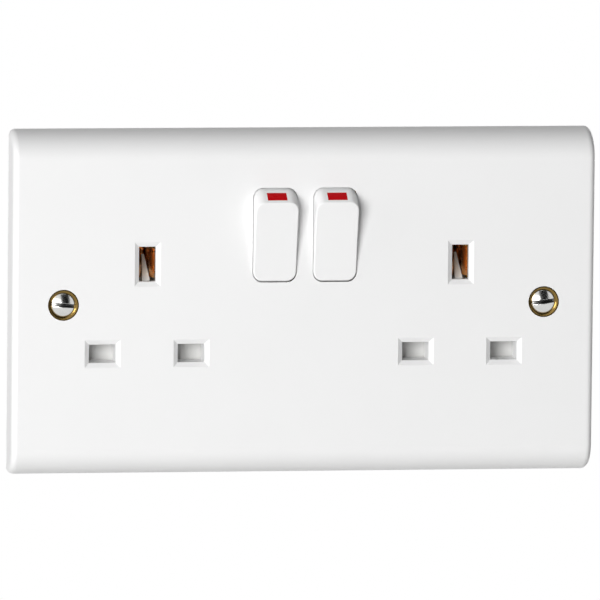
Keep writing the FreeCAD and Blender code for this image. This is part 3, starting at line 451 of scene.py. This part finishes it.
class HelixRule:
    """Geometry tree that sweeps a profile along a right-hand helix about Z, for threads and springs."""

    LENGTHS = ("Length", "Radius", "Profile Radial", "Profile Axial", "Turns", "End Closing", "End Fade",
               "Spacing")
    COUNTS = ("Profile Sides", "Points A Turn", "Copies")
    # Turns by which a fade has begun at the very end, so that no end shrinks to a point.
    FADE_START = 0.02

    def __init__(self) -> None:
        """Builds the tree with one named input for each size."""
        self.tree = bpy.data.node_groups.new("helix_sweep", "GeometryNodeTree")
        for label in self.LENGTHS:
            self.tree.interface.new_socket(label, in_out="INPUT", socket_type="NodeSocketFloat")
        for label in self.COUNTS:
            self.tree.interface.new_socket(label, in_out="INPUT", socket_type="NodeSocketInt")
        self.tree.interface.new_socket("Material", in_out="INPUT", socket_type="NodeSocketMaterial")
        self.tree.interface.new_socket("Geometry", in_out="OUTPUT", socket_type="NodeSocketGeometry")
        self.sizes = add_node(self.tree, "NodeGroupInput").outputs
        self.along = add_node(self.tree, "GeometryNodeSplineParameter").outputs["Factor"]
        swept = add_node(self.tree, "GeometryNodeCurveToMesh", {"Fill Caps": True},
                         {"Curve": self.path(), "Profile Curve": self.profile(), "Scale": self.fade()})
        self.close(swept.outputs["Mesh"])

    def path(self) -> bpy.types.NodeSocket:
        """Draws the helix, whose pitch closes towards its ends by the End Closing share.

        Returns:
            The output that holds the curve.
        """
        tree = self.tree
        sizes = self.sizes
        points = add_node(tree, "ShaderNodeMath", {2: 1.0}, {0: sizes["Turns"], 1: sizes["Points A Turn"]},
                          operation="MULTIPLY_ADD")
        line = add_node(tree, "GeometryNodeCurvePrimitiveLine", {"End": (0.0, 0.0, 1.0)})
        dense = add_node(tree, "GeometryNodeResampleCurve",
                         links={"Curve": line.outputs[0], "Count": points.outputs[0]})
        eased = add_node(tree, "ShaderNodeMapRange", links={"Value": self.along},
                         interpolation_type="SMOOTHSTEP")
        share = add_node(tree, "ShaderNodeMix", links={MIX_FACTOR: sizes["End Closing"], NUMBER_A: self.along,
                                                       NUMBER_B: eased.outputs["Result"]})
        # The middle of the wire runs from half a wire above the foot to half a wire below the top.
        room = add_node(tree, "ShaderNodeMath", {1: -2.0}, {0: sizes["Profile Axial"], 2: sizes["Length"]},
                        operation="MULTIPLY_ADD")
        rise = add_node(tree, "ShaderNodeMath", links={0: share.outputs[NUMBER_RESULT], 1: room.outputs[0],
                                                       2: sizes["Profile Axial"]}, operation="MULTIPLY_ADD")
        turned = add_node(tree, "ShaderNodeMath", links={0: self.along, 1: sizes["Turns"]},
                          operation="MULTIPLY")
        angle = add_node(tree, "ShaderNodeMath", {1: math.tau}, {0: turned.outputs[0]}, operation="MULTIPLY")
        spots: Links = {"Z": rise.outputs[0]}
        for axis, wave in (("X", "COSINE"), ("Y", "SINE")):
            swing = add_node(tree, "ShaderNodeMath", links={0: angle.outputs[0]}, operation=wave)
            reach = add_node(tree, "ShaderNodeMath", links={0: swing.outputs[0], 1: sizes["Radius"]},
                             operation="MULTIPLY")
            spots[axis] = reach.outputs[0]
        place = add_node(tree, "ShaderNodeCombineXYZ", links=spots)
        wound = add_node(tree, "GeometryNodeSetPosition",
                         links={"Geometry": dense.outputs[0], "Position": place.outputs[0]})
        level = add_node(tree, "GeometryNodeSetCurveNormal", links={"Curve": wound.outputs[0]}, mode="Z_UP")
        return level.outputs["Curve"]

    def profile(self) -> bpy.types.NodeSocket:
        """Draws the round or pointed section, with its own reach out from the axis and along it.

        Returns:
            The output that holds the section's curve.
        """
        ring = add_node(self.tree, "GeometryNodeCurvePrimitiveCircle", {"Radius": 1.0},
                        {"Resolution": self.sizes["Profile Sides"]})
        reach = add_node(self.tree, "ShaderNodeCombineXYZ", {"Z": 1.0},
                         {"X": self.sizes["Profile Radial"], "Y": self.sizes["Profile Axial"]})
        sized = add_node(self.tree, "GeometryNodeTransform",
                         links={"Geometry": ring.outputs["Curve"], "Scale": reach.outputs[0]})
        return sized.outputs["Geometry"]

    def fade(self) -> bpy.types.NodeSocket:
        """Works out how much of the section is left at each place, so that a thread runs out at its ends.

        Returns:
            The output that scales the section.
        """
        tree = self.tree
        span = add_node(tree, "ShaderNodeMath", {1: self.FADE_START}, {0: self.sizes["End Fade"]},
                        operation="ADD")
        back = add_node(tree, "ShaderNodeMath", {0: 1.0}, {1: self.along}, operation="SUBTRACT")
        shares: Links = {}
        for end, distance in enumerate((self.along, back.outputs[0])):
            reach = add_node(tree, "ShaderNodeMath", {2: self.FADE_START},
                             {0: distance, 1: self.sizes["Turns"]}, operation="MULTIPLY_ADD")
            share = add_node(tree, "ShaderNodeMath", links={0: reach.outputs[0], 1: span.outputs[0]},
                             operation="DIVIDE")
            shares[end] = share.outputs[0]
        lesser = add_node(tree, "ShaderNodeMath", links=shares, operation="MINIMUM")
        whole = add_node(tree, "ShaderNodeMath", {1: 1.0}, {0: lesser.outputs[0]}, operation="MINIMUM")
        return whole.outputs[0]

    def close(self, sweep: bpy.types.NodeSocket) -> None:
        """Repeats the sweep in a row along X, makes it real mesh and gives it its material.

        Args:
            sweep: Output that holds the swept mesh.
        """
        tree = self.tree
        step = add_node(tree, "ShaderNodeCombineXYZ", links={"X": self.sizes["Spacing"]})
        row = add_node(tree, "GeometryNodeMeshLine",
                       links={"Count": self.sizes["Copies"], "Offset": step.outputs[0]})
        placed = add_node(tree, "GeometryNodeInstanceOnPoints",
                          links={"Points": row.outputs[0], "Instance": sweep})
        whole = add_node(tree, "GeometryNodeRealizeInstances", links={"Geometry": placed.outputs[0]})
        smooth = add_node(tree, "GeometryNodeSetShadeSmooth", links={"Geometry": whole.outputs[0]})
        dressed = add_node(tree, "GeometryNodeSetMaterial",
                           links={"Geometry": smooth.outputs[0], "Material": self.sizes["Material"]})
        add_node(tree, "NodeGroupOutput", links={0: dressed.outputs[0]})

    def grow(self, name: str, place: Matrix, **sizes: object) -> bpy.types.Object:
        """Makes one piece by the rule and puts it in its place.

        Args:
            name: Name of the piece.
            place: Turn and shift from the helix's own axis to the socket.
            sizes: Value of each named input, in metres where it is a length.

        Returns:
            The piece, as a plain mesh whose object is at the origin.
        """
        piece = new_object(name, bpy.data.meshes.new(name))
        rule = piece.modifiers.new("helix", "NODES")
        rule.node_group = self.tree
        for item in self.tree.interface.items_tree:
            if item.in_out == "INPUT":
                rule[item.identifier] = sizes[item.name.lower().replace(" ", "_")]
        settle(piece)
        piece.data.transform(place)
        LOG.info("grew %s, %d faces", name, len(piece.data.polygons))
        return piece


@dataclass(frozen=True)
class FixingScrews:
    """The two slotted raised-head screws: turned heads and cores with a cut slot, and rolled threads."""

    neck_radius_mm: float = 1.55
    head_raise_mm: float = 0.9
    crown_steps: int = 14
    tip_bevel_mm: float = 0.58
    crest_radius_mm: float = 1.75
    thread_depth_mm: float = 0.36
    pitch_mm: float = 0.6
    # Half a turn's width as a share of the pitch: just under a half, which leaves a narrow flat root.
    thread_half_share: float = 0.46
    thread_start_mm: float = 2.0
    thread_fade_turns: float = 0.8
    thread_corners: int = 4
    thread_points_a_turn: int = 28
    slot_width_mm: float = 1.0
    slot_depth_mm: float = 1.15
    slot_tilt_deg: float = 6.0
    edge_break_mm: float = 0.06
    edge_break_steps: int = 2
    broken_edge_deg: float = 35.0
    sharp_edge_deg: float = 28.0

    @property
    def root_radius_mm(self) -> float:
        """Radius of the core between the thread's turns."""
        return self.crest_radius_mm - self.thread_depth_mm

    def build(self, rule: HelixRule, material: bpy.types.Material) -> None:
        """Makes both screws in place of the solids.

        Args:
            rule: Tree that sweeps the threads.
            material: Plating of the screws.
        """
        low, high = (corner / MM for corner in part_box("fixing_screws"))
        turned = [self.turned(side, low, high, material) for side in Side]
        for piece in turned + [self.threads(rule, high.y, material)]:
            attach(piece, "frame")
            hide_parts("fixing_screws")

    def threads(self, rule: HelixRule, tip_mm: float, material: bpy.types.Material) -> bpy.types.Object:
        """Rolls the threads of both screws.

        Args:
            rule: Tree that sweeps the threads.
            tip_mm: Y of the screws' tips.
            material: Plating of the screws.

        Returns:
            Both threads as one piece.
        """
        length = tip_mm - self.tip_bevel_mm - self.thread_start_mm
        start = Matrix.Translation((-FIXING_X_MM * MM, self.thread_start_mm * MM, 0.0))
        return rule.grow("fixing_screw_threads", start @ Matrix.Rotation(-math.pi / 2, 4, "X"),
                         length=length * MM, radius=self.root_radius_mm * MM,
                         profile_radial=self.thread_depth_mm * MM,
                         profile_axial=self.thread_half_share * self.pitch_mm * MM,
                         turns=length / self.pitch_mm, end_closing=0.0, end_fade=self.thread_fade_turns,
                         spacing=2 * FIXING_X_MM * MM, profile_sides=self.thread_corners,
                         points_a_turn=self.thread_points_a_turn, copies=len(Side), material=material)

    def turned(self, side: Side, low: Vector, high: Vector,
               material: bpy.types.Material) -> bpy.types.Object:
        """Turns one screw's head and core and cuts its slot.

        Args:
            side: Which screw.
            low: Lowest corner of the solids' box, in millimetres.
            high: Highest corner of the solids' box, in millimetres.
            material: Plating of the screw.

        Returns:
            The screw without its thread.
        """
        head = (high.z - low.z) / 2
        rim_y = low.y + self.head_raise_mm
        dome = (head ** 2 + self.head_raise_mm ** 2) / (2 * self.head_raise_mm)
        half = math.asin(head / dome)
        arc = [half * step / self.crown_steps for step in range(self.crown_steps + 1)]
        crown = [(dome * math.sin(turn), low.y + dome * (1 - math.cos(turn))) for turn in arc]
        neck = self.neck_radius_mm
        root = self.root_radius_mm
        shank = [(neck, rim_y + head - neck), (neck, self.thread_start_mm),
                 (root, self.thread_start_mm + neck - root), (root, high.y - self.tip_bevel_mm),
                 (self.crest_radius_mm - self.tip_bevel_mm, high.y), (0.0, high.y)]
        name = side.word + "_fixing_screw"
        mesh = mesh_of(lathe(crown + shank), name)
        mesh.materials.append(material)
        piece = new_object(name, mesh)
        self.cut_slot(piece, head, low.y, side.value * self.slot_tilt_deg)
        piece.data.transform(Matrix.Translation((side.value * FIXING_X_MM * MM, 0.0, 0.0)))
        LOG.info("turned %s, %d faces", piece.name, len(piece.data.polygons))
        return piece

    def cut_slot(self, piece: bpy.types.Object, head_mm: float, top_mm: float, tilt_deg: float) -> None:
        """Saws the driver slot across a head and breaks its sharp edges.

        Args:
            piece: Turned screw on the Y axis.
            head_mm: Radius of the head.
            top_mm: Y of the crown.
            tilt_deg: Turn of the slot, positive when its right end is up as seen from the room.
        """
        saw = bmesh.new()
        bmesh.ops.create_cube(saw, size=1.0)
        # The saw is twice as long as the head is wide, and half of its depth is above the crown.
        reach = Vector((4 * head_mm, 2 * self.slot_depth_mm, self.slot_width_mm)) * MM
        turn = Matrix.Rotation(-math.radians(tilt_deg), 4, "Y")
        place = Matrix.Translation((0.0, top_mm * MM, 0.0)) @ turn @ Matrix.Diagonal(reach.to_4d())
        bmesh.ops.transform(saw, matrix=place, verts=saw.verts)
        blade = new_object("slot_saw", mesh_of(saw, "slot_saw"))
        kerf = piece.modifiers.new("slot", "BOOLEAN")
        kerf.object = blade
        kerf.operation = "DIFFERENCE"
        kerf.solver = "EXACT"
        broken = piece.modifiers.new("edges", "BEVEL")
        broken.width = self.edge_break_mm * MM
        broken.segments = self.edge_break_steps
        broken.limit_method = "ANGLE"
        broken.angle_limit = math.radians(self.broken_edge_deg)
        settle(piece)
        bpy.data.objects.remove(blade)
        piece.data.shade_smooth()
        piece.data.set_sharp_from_angle(angle=math.radians(self.sharp_edge_deg))


@dataclass(frozen=True)
class CoilSprings:
    """Compression springs: one under each shutter and one behind each rocker's plunger."""

    wire_mm: float = 0.36
    wire_sides: int = 12
    points_a_turn: int = 32
    end_closing: float = 0.85
    shutter_length_mm: float = 11.0
    shutter_travel_mm: float = 5.6
    shutter_turns: float = 6.0
    shutter_radius_mm: float = 1.0
    plunger_start_mm: float = 1.7
    plunger_length_mm: float = 4.45
    plunger_turns: float = 4.0
    plunger_radius_mm: float = 1.14

    def build(self, rule: HelixRule, material: bpy.types.Material) -> None:
        """Makes the four springs in place of the solids.

        Args:
            rule: Tree that sweeps the wire.
            material: Spring wire.
        """
        for side in Side:
            self.shutter_spring(rule, side, material)
            self.plunger_spring(rule, side, material)

    def wind(self, rule: HelixRule, node: str, place: Matrix, length_mm: float, radius_mm: float,
             turns: float, material: bpy.types.Material) -> bpy.types.Object:
        """Winds one spring from the wire.

        Args:
            rule: Tree that sweeps the wire.
            node: Name of the solid, which the piece's name starts with.
            place: Where its foot stands and which way it points.
            length_mm: Free length over the wire.
            radius_mm: Radius to the middle of the wire.
            turns: Number of turns.
            material: Spring wire.

        Returns:
            The spring.
        """
        wire = self.wire_mm / 2 * MM
        return rule.grow(node + "_wound", place, length=length_mm * MM, radius=radius_mm * MM,
                         profile_radial=wire, profile_axial=wire, turns=turns,
                         end_closing=self.end_closing, end_fade=0.0, spacing=0.0,
                         profile_sides=self.wire_sides, points_a_turn=self.points_a_turn, copies=1,
                         material=material)

    def shutter_spring(self, rule: HelixRule, side: Side, material: bpy.types.Material) -> None:
        """Puts a spring between the plate's ledge and the shutter.

        Args:
            rule: Tree that sweeps the wire.
            side: Which shutter.
            material: Spring wire.
        """
        node = side.word + "_shutter_spring"
        low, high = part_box(node)
        foot = Vector(((low.x + high.x) / 2, (low.y + high.y) / 2, low.z))
        spring = self.wind(rule, node, Matrix.Translation(foot), self.shutter_length_mm,
                           self.shutter_radius_mm, self.shutter_turns, material)
        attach(spring, "frame")
        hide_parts(node)
        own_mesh(spring)

    def plunger_spring(self, rule: HelixRule, side: Side, material: bpy.types.Material) -> None:
        """Puts a spring in the rocker's stem, along the stem's own lean.

        Args:
            rule: Tree that sweeps the wire.
            side: Which rocker.
            material: Spring wire.
        """
        node = side.word + "_plunger_spring"
        joint = next(row for row in frame["joints"] if row["name"] == side.word + "_rocker_turn")
        hinge = Vector(joint["pos_m"])
        low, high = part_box(node)
        lean = ((low + high) / 2 - hinge).normalized()
        turn = lean.to_track_quat("Z", "Y").to_matrix().to_4x4()
        place = Matrix.Translation(hinge + lean * self.plunger_start_mm * MM) @ turn
        spring = self.wind(rule, node, place, self.plunger_length_mm, self.plunger_radius_mm,
                           self.plunger_turns, material)
        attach(spring, side.word + "_rocker")
        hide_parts(node)


@dataclass(frozen=True)
class TerminalLetters:
    """Raised letters on the rear moulding, one above each wire terminal, read from behind."""

    centres_mm: Tuple[Tuple[str, float], ...] = (("N", -12.2), ("L", 0.0), ("E", 12.2))
    size_mm: float = 6.0
    raised_mm: float = 0.5
    sunk_mm: float = 0.1
    soft_edge_mm: float = 0.05
    soft_edge_steps: int = 2
    face_y_mm: float = 13.8
    foot_z_mm: float = -4.2

    def build(self, material: bpy.types.Material) -> None:
        """Makes the letters and sets them on the moulding.

        Args:
            material: Resin of the rear moulding.
        """
        for letter, x in self.centres_mm:
            mark = self.letter(letter, x)
            mark.data.materials.clear()
            mark.data.materials.append(material)
            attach(mark, "frame")
            LOG.info("raised %s, %d faces", mark.name, len(mark.data.polygons))

    def letter(self, letter: str, x_mm: float) -> bpy.types.Object:
        """Raises one letter.

        Args:
            letter: The letter itself.
            x_mm: Where its middle stands across the moulding.

        Returns:
            The letter as a mesh that faces the wall.
        """
        half = (self.raised_mm + self.sunk_mm) / 2 * MM
        outline = bpy.data.curves.new("terminal_" + letter, "FONT")
        outline.body = letter
        outline.align_x = "CENTER"
        outline.size = self.size_mm * MM
        outline.extrude = half - self.soft_edge_mm * MM
        outline.bevel_depth = self.soft_edge_mm * MM
        outline.bevel_resolution = self.soft_edge_steps
        written = new_object("terminal_" + letter, outline)
        mesh = evaluated_mesh(written)
        bpy.data.objects.remove(written)
        # Text lies on its back: this stands it up and turns its face to the wall.
        from_behind = Matrix(((-1, 0, 0, 0), (0, 0, 1, 0), (0, 1, 0, 0), (0, 0, 0, 1)))
        foot = Vector((x_mm * MM, (self.face_y_mm - self.sunk_mm) * MM + half, self.foot_z_mm * MM))
        mesh.transform(Matrix.Translation(foot) @ from_behind)
        return new_object("terminal_letter_" + letter, mesh)


def direction(azimuth_deg: float, elevation_deg: float) -> Vector:
    """Unit vector from the socket towards a place in the room; azimuth 0 is straight in front.

    Args:
        azimuth_deg: Angle to the right of straight in front.
        elevation_deg: Angle above the horizon.

    Returns:
        The direction in the socket's frame.
    """
    turn = math.radians(azimuth_deg)
    lift = math.radians(elevation_deg)
    return Vector((math.sin(turn) * math.cos(lift), -math.cos(turn) * math.cos(lift), math.sin(lift)))


def facing(azimuth_deg: float, elevation_deg: float, distance_m: float) -> Matrix:
    """Place of something in the room that faces the socket.

    Args:
        azimuth_deg: Angle to the right of straight in front.
        elevation_deg: Angle above the horizon.
        distance_m: Distance from the plate's centre.

    Returns:
        Matrix whose Z axis points away from the socket.
    """
    towards = direction(azimuth_deg, elevation_deg)
    return Matrix.Translation(towards * distance_m) @ towards.to_track_quat("Z", "Y").to_matrix().to_4x4()


def panel(name: str, width_m: float, height_m: float) -> bpy.types.Mesh:
    """Makes one flat rectangle about the origin, facing up.

    Args:
        name: Name of the mesh.
        width_m: Size along X.
        height_m: Size along Y.

    Returns:
        The mesh.
    """
    across = width_m / 2
    up = height_m / 2
    corners = [(-across, -up, 0), (across, -up, 0), (across, up, 0), (-across, up, 0)]
    mesh = bpy.data.meshes.new(name)
    mesh.from_pydata(corners, [], [(0, 1, 2, 3)])
    return mesh


def seen_directly(tree: bpy.types.NodeTree) -> bpy.types.NodeSocket:
    """Adds the test for what the camera, a mirror or clear glass shows.

    Args:
        tree: Tree of the floor's material or the world.

    Returns:
        Output that is one on camera, glossy and transmission rays.
    """
    rays = add_node(tree, "ShaderNodeLightPath").outputs
    mirrored = add_node(tree, "ShaderNodeMath", links={0: rays["Is Camera Ray"], 1: rays["Is Glossy Ray"]},
                        operation="MAXIMUM")
    every = add_node(tree, "ShaderNodeMath",
                     links={0: mirrored.outputs[0], 1: rays["Is Transmission Ray"]}, operation="MAXIMUM")
    return every.outputs[0]


@dataclass(frozen=True)
class PhotoView:
    """Where the camera stands: direction from the plate's centre, distance and scale of the picture."""

    azimuth_deg: float = -9.0
    elevation_deg: float = 6.5
    roll_deg: float = 0.59
    distance_m: float = 3.0
    pixels_per_mm: float = 4.0186
    centre_x_px: float = 298.4
    centre_y_px: float = 299.1
    sensor_mm: float = 36.0
    clip_end_m: float = 100.0

    def build(self) -> bpy.types.Object:
        """Makes the camera and sets it as the scene's.

        Returns:
            The camera.
        """
        data = bpy.data.cameras.new("photo_view")
        data.sensor_width = self.sensor_mm
        data.lens = self.sensor_mm * self.pixels_per_mm / MM * self.distance_m / IMAGE_SIZE
        data.shift_x = (IMAGE_SIZE / 2 - self.centre_x_px) / IMAGE_SIZE
        data.shift_y = (self.centre_y_px - IMAGE_SIZE / 2) / IMAGE_SIZE
        data.clip_end = self.clip_end_m
        camera = new_object("photo_view", data)
        roll = Matrix.Rotation(math.radians(self.roll_deg), 4, "Z")
        camera.matrix_world = facing(self.azimuth_deg, self.elevation_deg, self.distance_m) @ roll
        bpy.context.scene.camera = camera
        return camera


@dataclass(frozen=True)
class Softbox:
    """Rectangular diffused lamp that faces the socket; one that isn't mirrored gives no highlight."""

    name: str
    azimuth_deg: float
    elevation_deg: float
    distance_m: float
    width_m: float
    height_m: float
    power_w: float
    mirrored: bool = True

    def build(self) -> bpy.types.Object:
        """Makes the lamp, which the camera itself doesn't see.

        Returns:
            The lamp.
        """
        data = bpy.data.lights.new(self.name, "AREA")
        data.shape = "RECTANGLE"
        data.size = self.width_m
        data.size_y = self.height_m
        data.energy = self.power_w
        lamp = new_object(self.name, data)
        lamp.matrix_world = facing(self.azimuth_deg, self.elevation_deg, self.distance_m)
        lamp.visible_camera = False
        lamp.visible_glossy = self.mirrored
        return lamp


@dataclass(frozen=True)
class ShadeCard:
    """Black felt card beside the camera: metal shows it as a dark patch, and it keeps light off one side."""

    name: str
    azimuth_deg: float
    elevation_deg: float
    distance_m: float
    width_m: float
    height_m: float
    colour: str = "#0C0C0C"
    # Real fibres are far finer; these are tufts, so that the nap shows.
    tuft_mm: float = 4.0
    nap_roughness: Limits = (0.9, 1.0)

    def build(self) -> bpy.types.Object:
        """Makes the card, which the camera itself doesn't see.

        Returns:
            The card.
        """
        mesh = panel(self.name, self.width_m, self.height_m)
        mesh.transform(facing(self.azimuth_deg, self.elevation_deg, self.distance_m))
        mesh.materials.append(self.felt())
        card = new_object(self.name, mesh)
        card.visible_camera = False
        return card

    def felt(self) -> bpy.types.Material:
        """Builds the felt's node material.

        Returns:
            The material.
        """
        material, tree, place = blank_material("black_felt")
        tufts = add_node(tree, "ShaderNodeTexNoise", {"Scale": per_metre(self.tuft_mm)}, {"Vector": place})
        smooth, rough = self.nap_roughness
        nap = add_node(tree, "ShaderNodeMapRange", {"To Min": smooth, "To Max": rough},
                       {"Value": tufts.outputs["Fac"]})
        felt = add_node(tree, "ShaderNodeBsdfPrincipled",
                        {"Base Color": linear(self.colour), "Specular IOR Level": 0.0},
                        {"Roughness": nap.outputs["Result"]})
        add_node(tree, "ShaderNodeOutputMaterial", links={"Surface": felt.outputs["BSDF"]})
        return material


@dataclass(frozen=True)
class Studio:
    """White room: a pale floor far below the socket, a bright backdrop all round and soft lamps."""

    floor_drop_m: float = 1.3
    floor_width_m: float = 12.0
    floor_colour: str = "#F4F4F3"
    floor_mottle_mm: float = 500.0
    floor_roughness: Limits = (0.8, 0.9)
    room_strength: float = 0.12
    lamps: Tuple[Softbox, ...] = (
        Softbox("key_softbox", -31.0, 6.0, 1.8, 1.07, 0.9, 33.3),
        Softbox("left_fill", -80.0, 12.0, 1.4, 0.6, 0.6, 2.6, mirrored=False),
        Softbox("rear_softbox", 146.0, 5.0, 2.0, 1.1, 0.9, 32.0, mirrored=False),
    )
    cards: Tuple[ShadeCard, ...] = (
        ShadeCard("right_card", 16.0, 23.0, 0.8, 0.66, 1.04),
    )

    def build(self) -> None:
        """Makes the floor, the room's light, the lamps and the cards."""
        self.floor()
        self.room()
        for thing in self.lamps + self.cards:
            thing.build()

    def floor(self) -> bpy.types.Object:
        """Lays the floor.

        Returns:
            The floor.
        """
        mesh = panel("studio_floor", self.floor_width_m, self.floor_width_m)
        mesh.transform(Matrix.Translation((0.0, 0.0, -self.floor_drop_m)))
        mesh.materials.append(self.paint())
        floor = new_object("studio_floor", mesh)
        return floor

    def paint(self) -> bpy.types.Material:
        """Builds a pale paint that looks white to the camera and keeps the light that falls on it.

        Returns:
            The material.
        """
        material, tree, place = blank_material("painted_floor")
        mottle = add_node(tree, "ShaderNodeTexNoise", {"Scale": per_metre(self.floor_mottle_mm)},
                          {"Vector": place})
        smooth, rough = self.floor_roughness
        gloss = add_node(tree, "ShaderNodeMapRange", {"To Min": smooth, "To Max": rough},
                         {"Value": mottle.outputs["Fac"]})
        paint = add_node(tree, "ShaderNodeBsdfPrincipled", {"Base Color": linear(self.floor_colour)},
                         {"Roughness": gloss.outputs["Result"]})
        white = add_node(tree, "ShaderNodeEmission")
        either = add_node(tree, "ShaderNodeMixShader",
                          links={0: seen_directly(tree), 1: paint.outputs["BSDF"],
                                 2: white.outputs["Emission"]})
        add_node(tree, "ShaderNodeOutputMaterial", links={"Surface": either.outputs["Shader"]})
        return material

    def room(self) -> None:
        """Makes a world that is white behind the socket and dim where it only lights."""
        world = bpy.data.worlds.new("white_room")
        world.use_nodes = True
        tree = world.node_tree
        tree.nodes.clear()
        dim = add_node(tree, "ShaderNodeBackground", {"Strength": self.room_strength})
        white = add_node(tree, "ShaderNodeBackground", {"Color": (1.0, 1.0, 1.0, 1.0)})
        either = add_node(tree, "ShaderNodeMixShader",
                          links={0: seen_directly(tree), 1: dim.outputs["Background"],
                                 2: white.outputs["Background"]})
        add_node(tree, "ShaderNodeOutputWorld", links={"Surface": either.outputs["Shader"]})
        bpy.context.scene.world = world


def dress_nodes(materials: Dict[str, bpy.types.Material]) -> None:
    """Gives each solid of the socket the finish of its material slot.

    Args:
        materials: Node material for each slot of the record.
    """
    for row in frame["record"]["subparts"]:
        node = frame["nodes"][row["node"]]
        node.data.materials.clear()
        node.data.materials.append(materials[row["material_slot"]])
        LOG.info("dressed %s in %s", row["node"], row["material_slot"])


def main() -> None:
    """Builds the socket's looks in order."""
    logging.basicConfig(level=logging.INFO, format="%(message)s")
    bpy.context.scene.view_settings.view_transform = "Standard"
    materials = {slot: finish.material() for slot, finish in FINISHES.items()}
    dress_nodes(materials)
    rule = HelixRule()
    FixingScrews().build(rule, materials["plated_steel"])
    CoilSprings().build(rule, materials["spring_steel"])
    TerminalLetters().build(materials["white_base"])
    Studio().build()
    PhotoView().build()


if __name__ == "__main__":
    main()
